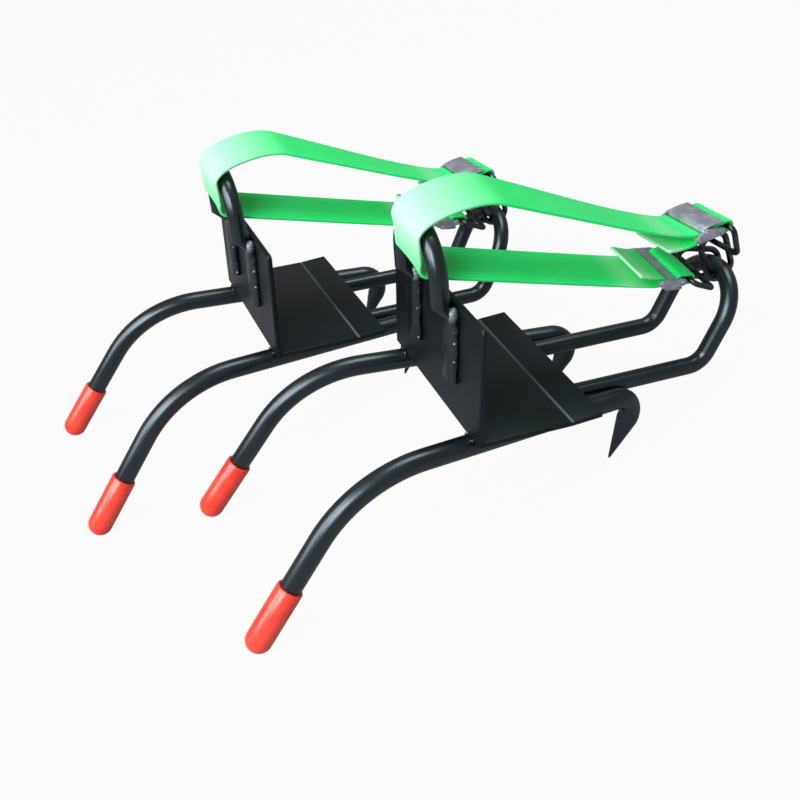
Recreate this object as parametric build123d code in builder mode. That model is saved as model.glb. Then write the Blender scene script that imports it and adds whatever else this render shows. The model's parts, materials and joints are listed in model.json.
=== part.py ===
"""A pair of tree climbing spikes: two welded steel foot claws with capped arms, straps and buckles.

Each claw is drawn in its own frame: X runs rearward from the front plate's front face, Y runs across
the foot, Z runs up from the top of the foot plate. Both claws are then set down on their cap ends and
spike points.
"""
import os
from math import asin, atan2, ceil, cos, degrees, hypot, radians, sin, tan

from build123d import *

os.makedirs("parts", exist_ok=True)

# Driving dimensions, in millimetres and degrees

# Plates
PLATE_WIDTH = 120.0
PLATE_THICK = 3.0
FRONT_HEIGHT = 66.0
FRONT_CORNER = 3.0
FRONT_EDGE = 1.2
FOOT_DEPTH = 72.0
FOOT_CREASE = 54.0
FOOT_LIFT = 4.0

# Side bars: a capped arm in front and a ground point behind
BAR_DIAMETER = 12.0
BAR_SPACING = 95.0
BAR_TOE = 5.5
ARM_CORNER = 64.5
ARM_SLOPE = 54.6
ARM_BEND = 74.0
ARM_LENGTH = 111.0
ARM_POINT = 14.0
ARM_POINT_RADIUS = 1.0
SPIKE_CORNER = 110.0
SPIKE_LEAN = 21.0
SPIKE_BEND = 11.0
SPIKE_LENGTH = 43.5
SPIKE_TAPER = 26.0
SPIKE_POINT_RADIUS = 0.6

# Push-on caps
CAP_DIAMETER = 15.0
CAP_LENGTH = 42.0
CAP_END = 4.0
CAP_FIT = 0.08
CAP_GAP = 0.3
CAP_RIM = 0.8

# Heel loop and strap loop, both of round bar
LOOP_DIAMETER = 10.0
LOOP_SPACING = 50.0
HEEL_START = 14.0
HEEL_REACH = 158.0
HEEL_BEND = 12.5
HEEL_LEAN = 23.5
HEEL_RISE = 27.0
STRAP_LOOP_FOOT = 20.0
STRAP_LOOP_NECK = 44.0
STRAP_LOOP_SHOULDER = 55.0
STRAP_LOOP_LEAN = 3.2
FLAT_LENGTH = 37.0
FLAT_WIDTH = 14.0
FLAT_THICK = 4.4

# Weld beads: filler in the corners
BEAD_RADIUS = 1.9
BAR_WELD = 14.0
BAR_WELD_FRONT = 10.0
BAR_WELD_REAR = 37.0

# Webbing
STRAP_WIDTH = 30.0
STRAP_THICK = 1.6
STRAP_GAP = 0.3
STRAP_YAW = 4.0
STRAP_ROLL = 10.5
STRAP_ARC_STEP = 18.0
STRAP_BULGE_RADIUS = 40.0
STRAP_FRONT_RADIUS = 16.0
STRAP_RETURN_RADIUS = 6.0
STRAP_EASE_RADIUS = 12.0
STRAP_SWAY_RADIUS = 90.0
UPPER_TAIL_RADIUS = 25.0
SWAY_ROLL = 2.0

# Strap corners beside each buckle, along the strap and to the lever's side of its bar
UPPER_TAIL_CORNERS = [(-21.0, -4.0), (-13.0, -7.0), (-4.5, -5.2)]
UPPER_LEAD = -4.0
LOWER_LEAD = -8.0
LOWER_RETURN = -5.0
LOWER_TAIL_END = (-16.5, -5.0)

# Strap corners from the upper buckle round the strap loop, beside the middle of the loop's crown
STRAP_FOLD = [(117.0, -7.0, -17.0), (27.5, -4.0, 16.0), (-8.5, -4.0, 7.5), (-6.0, -4.0, -19.0)]

# Cam buckles, drawn about the bar that the strap turns round
SHEET = 1.2
BAR_PIN_DIAMETER = 2.6
LEVER_PIN_DIAMETER = 2.0
PIN_WALL = 0.8
PIN_FIT = 0.05
PIN_PROUD = 0.6
SIDE_PLAY = 0.6
FLOOR_DEPTH = 7.0
FLOOR_DROP = 0.6
LEVER_PIN_BACK = 5.0
LEVER_PIN_UP = 2.6
LEVER_BARREL = 4.0
LEVER_BACK = 16.5
LEVER_OVER = 0.6
LEVER_PLAY = 0.4
LEVER_CROWN = 0.3
ANCHOR_BACK = 14.5
ANCHOR_WIDTH = 28.0
ANCHOR_LENGTH = 6.5
UPPER_PITCH = -9.0
UPPER_ROLL = -1.0
LOWER_PITCH = 10.0
LOWER_ROLL = 10.0

# Wire rings between the buckles and the heel loop
RING_WIRE = 3.2
RING_TOP = 37.0
RING_BOTTOM = 33.0
RING_DEPTH = 19.0
RING_BEND = 3.5
LINK_WIRE = 3.6
LINK_INSIDE = 12.4
LINK_SEAT = 0.5
LINK_SLACK = 1.0
LINK_LENGTH = 29.0
UPPER_LINK_Y = -2.0
UPPER_LINK_RISE = 66.0
UPPER_RING_RISE = 66.0
UPPER_RING_SHIFT = 4.5
LOWER_LINK_Y = 7.0
LOWER_LINK_RISE = 12.0
LOWER_RING_RISE = 28.0
LOWER_RING_SHIFT = 10.5
LOWER_LINK_USED = 19.0

# How the second claw stands beside the first
PAIR_BACK = -71.0
PAIR_ACROSS = 151.0
PAIR_TURN = 1.9

# Sizes that follow from the ones above
BAR_RADIUS = BAR_DIAMETER / 2
CAP_RADIUS = CAP_DIAMETER / 2
LOOP_RADIUS = LOOP_DIAMETER / 2
BAR_Z = -PLATE_THICK - BAR_RADIUS
LOOP_Z = -PLATE_THICK - LOOP_RADIUS
BAR_PIN_RADIUS = BAR_PIN_DIAMETER / 2
LEVER_PIN_RADIUS = LEVER_PIN_DIAMETER / 2
RING_RADIUS = RING_WIRE / 2
LINK_RADIUS = LINK_WIRE / 2
STRAP_TURN = BAR_PIN_RADIUS + STRAP_GAP + STRAP_THICK / 2
STRAP_SKIN = STRAP_TURN + STRAP_THICK / 2
CHEEK_INSIDE = STRAP_WIDTH / 2 + SIDE_PLAY
CHEEK_OUTSIDE = CHEEK_INSIDE + SHEET
ANCHOR_BORE = RING_RADIUS + STRAP_GAP
ANCHOR_SKIN = ANCHOR_BORE + STRAP_THICK
RING_BACK = ANCHOR_BACK + ANCHOR_LENGTH
PIN_BOSS = BAR_PIN_RADIUS + PIN_WALL
FLOOR_FRONT = STRAP_SKIN + STRAP_GAP
LEVER_TOP = ANCHOR_SKIN + LEVER_OVER + SHEET
LINK_REACH = LINK_LENGTH - LOOP_RADIUS - LINK_SEAT - RING_RADIUS - LINK_SLACK


# Places along the bars and loops that several pieces share

def bar_plane(side):
    """Upright plane of one side bar, with X along the bar and Y up; side is -1 for left, 1 for right."""
    toe = radians(BAR_TOE)
    along = Vector(cos(toe), -side * sin(toe), 0)
    return Plane((0, side * BAR_SPACING / 2, BAR_Z), x_dir=along, z_dir=(along.Y, -along.X, 0))


ARM_RUN = (-cos(radians(ARM_SLOPE)), -sin(radians(ARM_SLOPE)))
SPIKE_RUN = (-sin(radians(SPIKE_LEAN)), -cos(radians(SPIKE_LEAN)))
ARM_END = (-ARM_CORNER + ARM_RUN[0] * ARM_LENGTH, ARM_RUN[1] * ARM_LENGTH)
SPIKE_END = (SPIKE_CORNER + SPIKE_RUN[0] * SPIKE_LENGTH, SPIKE_RUN[1] * SPIKE_LENGTH)


def arm_place(distance):
    """Point on the arm's straight end, measured back from the outside of the cap's end."""
    return (ARM_END[0] - ARM_RUN[0] * distance, ARM_END[1] - ARM_RUN[1] * distance)


HALF_LOOP = LOOP_SPACING / 2
HEEL_RUN = Vector(sin(radians(HEEL_LEAN)), 0, cos(radians(HEEL_LEAN)))


def crown_place(across):
    """Point and direction on the heel loop's round crown at a distance across the foot."""
    angle = asin(across / HALF_LOOP)
    point = Vector(HEEL_REACH, across, LOOP_Z) + HEEL_RUN * (HEEL_RISE + HALF_LOOP * cos(angle))
    return point, Vector(0, cos(angle), 0) - HEEL_RUN * sin(angle)


strap_loop_lean = radians(STRAP_LOOP_LEAN)
STRAP_LOOP_PLANE = Plane(
    (-LOOP_RADIUS, 0, STRAP_LOOP_FOOT),
    x_dir=(0, 1, 0),
    z_dir=(cos(strap_loop_lean), 0, sin(strap_loop_lean)),
)
CROSSBAR = STRAP_LOOP_PLANE.from_local_coords(Vector(0, STRAP_LOOP_SHOULDER + HALF_LOOP, 0))


# Frames of the two buckles: X along the strap to the rear, Y across it, Z to the lever's side

def across_strap(yaw, roll):
    """Direction across the strap, to the far side, turned in plan and tipped up at the far edge."""
    flat = Vector(-sin(radians(yaw)), cos(radians(yaw)), 0)
    return flat * cos(radians(roll)) + Vector(0, 0, sin(radians(roll)))


def square_to(direction, other):
    """The part of a direction that stands square to another one, as a unit."""
    return (direction - other * direction.dot(other)).normalized()


def forward_and_up(rise):
    """Direction to the front of the foot, raised by an angle."""
    return Vector(-cos(radians(rise)), 0, sin(radians(rise)))


def hang(link_y, link_rise, used, ring_rise, ring_shift, pitch, roll, lever_up):
    """Frames of a link on the heel loop, the wire ring it holds, and the buckle on that ring."""
    crown, crown_run = crown_place(link_y)
    across = across_strap(STRAP_YAW, roll)
    chain = square_to(forward_and_up(link_rise), crown_run)
    lift = square_to(forward_and_up(ring_rise), across)
    heading = square_to(forward_and_up(pitch) * -1, across)
    ring_bar = crown + chain * used + lift * RING_DEPTH - across * ring_shift
    outward = heading.cross(across) * (1 if lever_up else -1)
    link = Plane(crown, x_dir=chain, z_dir=crown_run)
    ring = Plane(ring_bar, x_dir=across, z_dir=across.cross(lift))
    return link, ring, Plane(ring_bar - heading * RING_BACK, x_dir=heading, z_dir=outward)


UPPER_LINK, UPPER_RING, UPPER_BUCKLE = hang(
    UPPER_LINK_Y, UPPER_LINK_RISE, LINK_REACH,
    UPPER_RING_RISE, UPPER_RING_SHIFT,
    UPPER_PITCH, UPPER_ROLL, lever_up=True,
)
LOWER_LINK, LOWER_RING, LOWER_BUCKLE = hang(
    LOWER_LINK_Y, LOWER_LINK_RISE, LOWER_LINK_USED,
    LOWER_RING_RISE, LOWER_RING_SHIFT,
    LOWER_PITCH, LOWER_ROLL, lever_up=False,
)


# Frame of welded steel

def make_front_plate():
    """Upright plate that stands against the trunk and carries the strap loop."""
    with BuildPart() as plate:
        with BuildSketch(Plane.YZ):
            with Locations((0, (FRONT_HEIGHT - PLATE_THICK) / 2)):
                Rectangle(PLATE_WIDTH, FRONT_HEIGHT + PLATE_THICK)
        extrude(amount=PLATE_THICK)
        upright = plate.edges().filter_by(Axis.X).group_by(Axis.Z)[-1]
        fillet(upright, radius=FRONT_CORNER)
        fillet(plate.faces().sort_by(Axis.Z)[-1].edges().filter_by(Axis.Y), radius=FRONT_EDGE)
    return plate.part


def make_foot_plate():
    """Plate under the boot, butted to the front plate, with its rear strip bent up a little."""
    strip = FOOT_DEPTH - FOOT_CREASE
    lift = strip * tan(radians(FOOT_LIFT))
    with BuildPart() as plate:
        with BuildSketch(Plane.XZ):
            with BuildLine():
                Polyline(
                    (PLATE_THICK, 0),
                    (FOOT_CREASE, 0),
                    (FOOT_DEPTH, lift),
                    (FOOT_DEPTH, lift - PLATE_THICK),
                    (FOOT_CREASE, -PLATE_THICK),
                    (PLATE_THICK, -PLATE_THICK),
                    close=True,
                )
            make_face()
        extrude(amount=PLATE_WIDTH / 2, both=True)
    return plate.part


def make_bar(side):
    """One bent bar: a pointed arm that reaches round the trunk, and a ground spike behind."""
    plane = bar_plane(side)
    shoulder = arm_place(CAP_END + CAP_GAP + ARM_POINT)
    point = arm_place(CAP_END + CAP_GAP)
    base = (SPIKE_END[0] - SPIKE_RUN[0] * SPIKE_TAPER, SPIKE_END[1] - SPIKE_RUN[1] * SPIKE_TAPER)
    with BuildLine(plane) as route:
        FilletPolyline(shoulder, (-ARM_CORNER, 0), (SPIKE_CORNER, 0), base, radius=[ARM_BEND, SPIKE_BEND])
    with BuildPart() as bar:
        with BuildSketch(Plane(route.line @ 0, z_dir=route.line % 0)):
            Circle(BAR_RADIUS)
        sweep(path=route.line)
        with BuildSketch(Plane(route.line @ 1, z_dir=route.line % 1)):
            Circle(BAR_RADIUS)
        with BuildSketch(Plane(plane.from_local_coords(Vector(*SPIKE_END, 0)), z_dir=route.line % 1)):
            Circle(SPIKE_POINT_RADIUS)
        loft()
        with BuildSketch(Plane(route.line @ 0, z_dir=route.line % 0)):
            Circle(BAR_RADIUS)
        with BuildSketch(Plane(plane.from_local_coords(Vector(*point, 0)), z_dir=route.line % 0)):
            Circle(ARM_POINT_RADIUS)
        loft()
    return bar.part


def make_cap(side):
    """Soft push-on cap with a round end, bored for the arm and its point."""
    plane = bar_plane(side)
    end = plane.from_local_coords(Vector(*ARM_END, 0))
    back = plane.from_local_coords(Vector(*arm_place(CAP_LENGTH), 0)) - end
    bore = BAR_RADIUS + CAP_FIT
    with BuildPart() as cap:
        with BuildSketch(Plane(end, x_dir=plane.z_dir, z_dir=plane.z_dir.cross(back))):
            with BuildLine():
                RadiusArc((0, 0), (CAP_RADIUS, CAP_RADIUS), -CAP_RADIUS)
                Polyline(
                    (CAP_RADIUS, CAP_RADIUS),
                    (CAP_RADIUS, CAP_LENGTH - CAP_RIM),
                    (CAP_RADIUS - CAP_RIM / 2, CAP_LENGTH),
                    (bore, CAP_LENGTH),
                    (bore, CAP_END + ARM_POINT),
                    (ARM_POINT_RADIUS + CAP_GAP, CAP_END),
                    (0, CAP_END),
                    (0, 0),
                )
            make_face()
        revolve(axis=Axis(end, back))
    return cap.part


def make_heel_loop():
    """Round bar bent into a long U under the foot, with its round end turned up behind the heel."""
    corner = Vector(HEEL_REACH, HALF_LOOP, LOOP_Z)
    start = Vector(HEEL_START, HALF_LOOP, LOOP_Z)
    shoulder = corner + HEEL_RUN * HEEL_RISE
    flip = Vector(0, -LOOP_SPACING, 0)
    crown, _ = crown_place(0)
    with BuildLine() as route:
        FilletPolyline(start + flip, corner + flip, shoulder + flip, radius=HEEL_BEND)
        ThreePointArc(shoulder + flip, crown, shoulder)
        FilletPolyline(shoulder, corner, start, radius=HEEL_BEND)
    with BuildPart() as loop:
        with BuildSketch(Plane(route.line @ 0, z_dir=route.line % 0)):
            Circle(LOOP_RADIUS)
        sweep(path=route.line)
    return loop.part


def make_strap_loop():
    """Arched bar that the strap passes through, with feet hammered flat and welded to the front plate."""
    with BuildLine(STRAP_LOOP_PLANE) as route:
        Line((-HALF_LOOP, STRAP_LOOP_NECK), (-HALF_LOOP, STRAP_LOOP_SHOULDER))
        ThreePointArc(
            (-HALF_LOOP, STRAP_LOOP_SHOULDER),
            (0, STRAP_LOOP_SHOULDER + HALF_LOOP),
            (HALF_LOOP, STRAP_LOOP_SHOULDER),
        )
        Line((HALF_LOOP, STRAP_LOOP_SHOULDER), (HALF_LOOP, STRAP_LOOP_NECK))
    with BuildPart() as loop:
        with BuildSketch(Plane(route.line @ 0, z_dir=route.line % 0)):
            Circle(LOOP_RADIUS)
        sweep(path=route.line)
        for side in (-1, 1):
            flat_top = Vector(-FLAT_THICK / 2, side * HALF_LOOP, STRAP_LOOP_FOOT + FLAT_LENGTH)
            flat = Plane(flat_top, x_dir=(0, 1, 0), z_dir=(0, 0, -1))
            neck = STRAP_LOOP_PLANE.from_local_coords(Vector(side * HALF_LOOP, STRAP_LOOP_NECK, 0))
            with BuildSketch(Plane(neck, x_dir=(0, 1, 0), z_dir=STRAP_LOOP_PLANE.y_dir * -1)):
                Circle(LOOP_RADIUS)
            with BuildSketch(flat):
                Ellipse(FLAT_WIDTH / 2, FLAT_THICK / 2)
            loft()
            with BuildSketch(flat):
                Ellipse(FLAT_WIDTH / 2, FLAT_THICK / 2)
            extrude(amount=FLAT_LENGTH)
    return loop.part


def weld_rows():
    """Start, direction and length of every bead, with the two pieces that it joins."""
    rows = []
    for side, bar in ((-1, "left_bar"), (1, "right_bar")):
        plane = bar_plane(side)
        for face in (-1, 1):
            edge = side * HALF_LOOP + face * FLAT_WIDTH / 2
            foot = Vector(-BEAD_RADIUS / 2, edge, STRAP_LOOP_FOOT)
            rows.append((foot, Vector(0, 0, 1), FLAT_LENGTH, ("front_plate", "strap_loop")))
            across = side * HALF_LOOP + face * LOOP_RADIUS
            heel = Vector(HEEL_START + LOOP_DIAMETER, across, -PLATE_THICK - BEAD_RADIUS / 2)
            rows.append((heel, Vector(1, 0, 0), BAR_WELD, ("foot_plate", "heel_loop")))
            for along in (BAR_WELD_FRONT, BAR_WELD_REAR):
                seat = Vector(along, BAR_RADIUS - BEAD_RADIUS / 2, face * BAR_RADIUS)
                rows.append((plane.from_local_coords(seat), plane.x_dir, BAR_WELD, ("foot_plate", bar)))
    return rows


def make_bead(start, along, length, joined):
    """One straight bead of filler, cut back to the two pieces of steel that it joins."""
    with BuildPart() as bead:
        with BuildSketch(Plane(start, z_dir=along)):
            Circle(BEAD_RADIUS)
        extrude(amount=length)
        for piece in joined:
            add(piece, mode=Mode.SUBTRACT)
    return bead.part.solid()


def make_welds(frame):
    """Filler beads: beside the strap loop's feet, and under the foot plate by every bar."""
    beads = []
    for start, along, length, names in weld_rows():
        beads.append(make_bead(start, along, length, [frame[name] for name in names]))
    return Compound(beads)


# Strap and buckles

def rounded_route(corners, radii):
    """Places and directions along straight runs joined by arcs, with each one's corner number."""
    stations = [(corners[0], (corners[1] - corners[0]).normalized(), 0)]
    for number, radius in enumerate(radii, start=1):
        arrive = (corners[number] - corners[number - 1]).normalized()
        leave = (corners[number + 1] - corners[number]).normalized()
        turn = radians(arrive.get_angle(leave))
        inward = (leave - arrive * cos(turn)) / sin(turn)
        begin = corners[number] - arrive * (radius * tan(turn / 2))
        steps = ceil(degrees(turn) / STRAP_ARC_STEP)
        for step in range(steps + 1):
            angle = turn * step / steps
            place = begin + arrive * (radius * sin(angle)) + inward * (radius * (1 - cos(angle)))
            if (place - stations[-1][0]).length > STRAP_GAP:
                stations.append((place, arrive * cos(angle) + inward * sin(angle), number))
    stations.append((corners[-1], (corners[-1] - corners[-2]).normalized(), len(corners) - 1))
    return stations


def strap_corners():
    """Corner points, arc radii and rolls of the strap, from its upper tail to its lower tail."""
    turn = STRAP_TURN
    upper = UPPER_TAIL_CORNERS + [(turn, -turn), (turn, turn), (UPPER_LEAD, turn)]
    lower = [(LOWER_LEAD, turn), (turn, turn), (turn, -turn), (LOWER_RETURN, -turn), LOWER_TAIL_END]
    corners = [UPPER_BUCKLE.from_local_coords(Vector(u, 0, w)) for u, w in upper]
    corners += [CROSSBAR + Vector(*offset) for offset in STRAP_FOLD]
    corners += [LOWER_BUCKLE.from_local_coords(Vector(u, 0, w)) for u, w in lower]
    radii = [UPPER_TAIL_RADIUS, STRAP_EASE_RADIUS, turn, turn, STRAP_EASE_RADIUS]
    radii += [STRAP_SWAY_RADIUS, STRAP_BULGE_RADIUS, STRAP_FRONT_RADIUS, STRAP_RETURN_RADIUS]
    radii += [STRAP_EASE_RADIUS, turn, turn, STRAP_EASE_RADIUS]
    rolls = [UPPER_ROLL] * len(upper) + [SWAY_ROLL] + [STRAP_ROLL] * 3 + [LOWER_ROLL] * len(lower)
    return corners, radii, rolls


def make_strap():
    """One length of flat webbing, doubled over the crossbar, with a tail folded back at each buckle."""
    corners, radii, rolls = strap_corners()
    with BuildPart() as strap:
        for place, direction, number in rounded_route(corners, radii):
            across = across_strap(STRAP_YAW, rolls[number])
            across = across - direction * across.dot(direction)
            with BuildSketch(Plane(place, x_dir=across, z_dir=direction)):
                Rectangle(STRAP_WIDTH, STRAP_THICK)
        loft(ruled=True)
    return strap.part


def make_buckle_body():
    """Stamped channel: two cheeks that hold the cross pins, and a floor behind the strap's fold."""
    with BuildPart() as body:
        with BuildSketch(Plane.XY.offset(-BAR_PIN_RADIUS - FLOOR_DROP)):
            with Locations((FLOOR_FRONT + FLOOR_DEPTH / 2, 0)):
                Rectangle(FLOOR_DEPTH, 2 * CHEEK_INSIDE + SHEET)
        extrude(amount=SHEET)
        with BuildSketch(Plane.XZ.offset(CHEEK_INSIDE)):
            with Locations((LEVER_PIN_BACK, LEVER_PIN_UP)):
                Circle(LEVER_PIN_RADIUS + PIN_WALL)
            with Locations((0, 0), (ANCHOR_BACK, 0)):
                Circle(PIN_BOSS)
            make_hull()
            with Locations((LEVER_PIN_BACK, LEVER_PIN_UP)):
                Circle(LEVER_PIN_RADIUS + PIN_FIT, mode=Mode.SUBTRACT)
            with Locations((0, 0), (ANCHOR_BACK, 0)):
                Circle(BAR_PIN_RADIUS + PIN_FIT, mode=Mode.SUBTRACT)
        extrude(amount=SHEET)
        mirror(about=Plane.XZ)
    return body.part


def make_buckle_pins():
    """Cross pins of a buckle: the lever's hinge, the bar the strap turns round, and the anchor bar."""
    length = 2 * (CHEEK_OUTSIDE + PIN_PROUD)
    with BuildPart() as pins:
        with BuildSketch(Plane.XZ.offset(-length / 2)):
            with Locations((LEVER_PIN_BACK, LEVER_PIN_UP)):
                Circle(LEVER_PIN_RADIUS)
            with Locations((0, 0), (ANCHOR_BACK, 0)):
                Circle(BAR_PIN_RADIUS)
        extrude(amount=length)
    return pins.part


def make_lever():
    """Thumb plate on a round cam that pinches the strap against its bar."""
    front = LEVER_PIN_BACK
    back = LEVER_BACK
    middle = (front + back) / 2
    under = LEVER_TOP - SHEET
    width = CHEEK_INSIDE - LEVER_PLAY
    with BuildPart() as lever:
        with BuildSketch(Plane.XZ):
            with BuildLine():
                ThreePointArc((front, LEVER_TOP), (middle, LEVER_TOP + LEVER_CROWN), (back, LEVER_TOP))
                Line((back, LEVER_TOP), (back, under))
                ThreePointArc((back, under), (middle, under + LEVER_CROWN), (front, under))
                Line((front, under), (front, LEVER_TOP))
            make_face()
            with Locations((front, LEVER_PIN_UP)):
                Circle(LEVER_BARREL / 2)
            with Locations((front + LEVER_BARREL / 4, (LEVER_PIN_UP + LEVER_TOP) / 2)):
                Rectangle(LEVER_BARREL / 2, LEVER_TOP - LEVER_PIN_UP)
            with Locations((front, LEVER_PIN_UP)):
                Circle(LEVER_PIN_RADIUS + PIN_FIT, mode=Mode.SUBTRACT)
        extrude(amount=width, both=True)
    return lever.part


def make_anchor_loop():
    """Short loop of webbing sewn round the anchor bar and the wire ring."""
    with BuildPart() as loop:
        with BuildSketch(Plane.XZ):
            with Locations((ANCHOR_BACK + ANCHOR_LENGTH / 2, 0)):
                SlotCenterToCenter(ANCHOR_LENGTH, 2 * ANCHOR_SKIN)
                SlotCenterToCenter(ANCHOR_LENGTH, 2 * ANCHOR_BORE, mode=Mode.SUBTRACT)
        extrude(amount=ANCHOR_WIDTH / 2, both=True)
    return loop.part


def make_strap_ring():
    """Closed wire ring with a long straight bar in the webbing loop and a shorter bar in the link."""
    with BuildLine() as route:
        FilletPolyline(
            (-RING_TOP / 2, 0),
            (RING_TOP / 2, 0),
            (RING_BOTTOM / 2, -RING_DEPTH),
            (-RING_BOTTOM / 2, -RING_DEPTH),
            radius=RING_BEND,
            close=True,
        )
    with BuildPart() as ring:
        with BuildSketch(Plane(route.line @ 0, z_dir=route.line % 0)):
            Circle(RING_RADIUS)
        sweep(path=route.line)
    return ring.part


def make_link():
    """Oval wire link round the heel loop's crown."""
    half = (LINK_INSIDE + LINK_WIRE) / 2
    near = LINK_INSIDE / 2 - LOOP_RADIUS - LINK_SEAT
    far = near + LINK_LENGTH - LINK_INSIDE
    with BuildLine() as route:
        Line((near, -half), (far, -half))
        ThreePointArc((far, -half), (far + half, 0), (far, half))
        Line((far, half), (near, half))
        ThreePointArc((near, half), (near - half, 0), (near, -half))
    with BuildPart() as link:
        with BuildSketch(Plane(route.line @ 0, z_dir=route.line % 0)):
            Circle(LINK_RADIUS)
        sweep(path=route.line)
    return link.part


# One claw, every piece in its place

claw = {
    "front_plate": make_front_plate(),
    "foot_plate": make_foot_plate(),
    "left_bar": make_bar(-1),
    "right_bar": make_bar(1),
    "heel_loop": make_heel_loop(),
    "strap_loop": make_strap_loop(),
}
claw["welds"] = make_welds(claw)
claw["left_cap"] = make_cap(-1)
claw["right_cap"] = make_cap(1)
claw["strap"] = make_strap()
for level, buckle, ring, link in (
    ("upper", UPPER_BUCKLE, UPPER_RING, UPPER_LINK),
    ("lower", LOWER_BUCKLE, LOWER_RING, LOWER_LINK),
):
    claw[level + "_buckle_body"] = make_buckle_body().moved(Location(buckle))
    claw[level + "_buckle_pins"] = make_buckle_pins().moved(Location(buckle))
    claw[level + "_buckle_lever"] = make_lever().moved(Location(buckle))
    claw[level + "_anchor_loop"] = make_anchor_loop().moved(Location(buckle))
    claw[level + "_strap_ring"] = make_strap_ring().moved(Location(ring))
    claw[level + "_link"] = make_link().moved(Location(link))

# Each claw stands on the round ends of its caps and on its spike points
ball = arm_place(CAP_RADIUS)
run = (SPIKE_END[0] - ball[0], SPIKE_END[1] - ball[1])
REST_TILT = degrees(atan2(run[1], run[0]) + asin((CAP_RADIUS - SPIKE_POINT_RADIUS) / hypot(*run)))
stand = Location((0, 0, 0), (0, REST_TILT, 0))
beside = Location((PAIR_BACK, PAIR_ACROSS, 0), (0, 0, PAIR_TURN))
standing = [piece.moved(stand) for piece in claw.values()]
pair = Compound(children=standing + [piece.moved(beside * stand) for piece in claw.values()])
box = pair.bounding_box()
centre = Location((-box.center().X, -box.center().Y, -box.min.Z))
PLACES = {"first": centre * stand, "second": centre * beside * stand}

for name, place in PLACES.items():
    for piece_name, piece in claw.items():
        node = piece.moved(place)
        node.label = f"{name}_{piece_name}"
        export_step(node, f"parts/{node.label}.step")

print("rest tilt", round(REST_TILT, 2), "box", box.size)
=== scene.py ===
# %% [markdown]
# # A pair of tree climbing spikes
# Two steel foot claws stand side by side on the red caps of their arms and on their ground points.
# Each has a green strap that runs round an arched bar and back to two plated buckles.
# The exact shapes come from the CAD frame. This lesson adds what the frame can't show: woven straps,
# softened sheet edges, evenly shaded round bars, weld beads, and a finish for every piece.

import json
from math import cos, pi, radians, sin
from random import Random

import bpy
from mathutils import Matrix, Vector

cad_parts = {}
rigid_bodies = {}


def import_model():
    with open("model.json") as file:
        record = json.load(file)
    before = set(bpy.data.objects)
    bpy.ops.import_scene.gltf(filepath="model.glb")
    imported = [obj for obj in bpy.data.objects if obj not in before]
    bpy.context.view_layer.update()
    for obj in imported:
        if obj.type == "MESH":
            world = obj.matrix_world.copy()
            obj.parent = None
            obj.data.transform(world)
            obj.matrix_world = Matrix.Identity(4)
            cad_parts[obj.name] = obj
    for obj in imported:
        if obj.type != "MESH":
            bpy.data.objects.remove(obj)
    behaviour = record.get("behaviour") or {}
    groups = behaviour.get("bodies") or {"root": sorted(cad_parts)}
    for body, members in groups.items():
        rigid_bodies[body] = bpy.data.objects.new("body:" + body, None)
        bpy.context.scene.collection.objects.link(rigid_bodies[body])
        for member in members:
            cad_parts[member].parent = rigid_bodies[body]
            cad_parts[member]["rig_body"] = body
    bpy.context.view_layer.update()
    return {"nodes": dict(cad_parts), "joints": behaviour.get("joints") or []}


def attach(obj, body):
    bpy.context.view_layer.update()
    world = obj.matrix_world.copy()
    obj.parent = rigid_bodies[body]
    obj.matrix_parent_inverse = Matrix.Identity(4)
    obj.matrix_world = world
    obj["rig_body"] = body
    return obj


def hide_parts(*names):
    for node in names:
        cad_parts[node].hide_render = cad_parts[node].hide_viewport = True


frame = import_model()
nodes = frame["nodes"]
MM = 0.001

# %% [markdown]
# ## Where the two claws stand
# Both claws are the same object, so each new piece is modelled once in the claw's own frame: X runs back
# from the front plate, Y across the foot, Z up from the foot plate, in millimetres.
# A placement matrix in metres then tips the piece onto its caps and points. Copying by matrix keeps the two
# claws alike, while modelling each one in place would mean doing the same work twice at odd angles.

# %% Placements of the two claws
NOSE_DOWN = radians(13.0769)
STANDS_AT = (0.0147496, -0.0731866, 0.0704151)
SECOND_BESIDE = (-0.071, 0.151, 0.0)
SECOND_TURN = radians(1.9)
TREAD_MIDDLE = Vector((36, 0, 0))
tipped = Matrix.Rotation(NOSE_DOWN, 4, "Y")
standing = Matrix.Translation(STANDS_AT)
beside = Matrix.Translation(SECOND_BESIDE) @ Matrix.Rotation(SECOND_TURN, 4, "Z")
CLAWS = {"first": standing @ tipped, "second": standing @ beside @ tipped}
print("first claw's foot plate centre:", CLAWS["first"] @ (TREAD_MIDDLE * MM))

# %% [markdown]
# ## Camera
# The photograph looks down on the near claw from its left front. A camera could be placed by eye, but then
# pieces only nearly line up. Its place was solved from points that are easy to find in the photograph, such
# as plate corners and cap ends, and is given here in the near claw's own frame.

# %% Camera at the photograph's angle
SENSOR = 36.0
LENS = 44.948
CAMERA_AT = Vector((-179.0, -431.1, 302.5))
RIGHT = Vector((0.9347, -0.355, -0.0159)).normalized()
AHEAD = Vector((0.2869, 0.7802, -0.5558)).normalized()
UP = RIGHT.cross(AHEAD).normalized()
camera_data = bpy.data.cameras.new("camera")
camera_data.sensor_width = SENSOR
camera_data.lens = LENS
camera = bpy.data.objects.new("camera", camera_data)
bpy.context.scene.collection.objects.link(camera)
view = Matrix((RIGHT, UP, -AHEAD)).transposed().to_4x4()
view.translation = CAMERA_AT * MM
camera.matrix_world = CLAWS["first"] @ view
bpy.context.scene.camera = camera
print("camera stands at", camera.matrix_world.translation)

# %% [markdown]
# ## Shader maths as plain expressions
# A material is a graph of nodes. Wiring a dozen Math nodes by hand hides what they compute, so this class
# wraps a socket and lets Python's own operators add the nodes. `node` adds any other kind of node.


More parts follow.
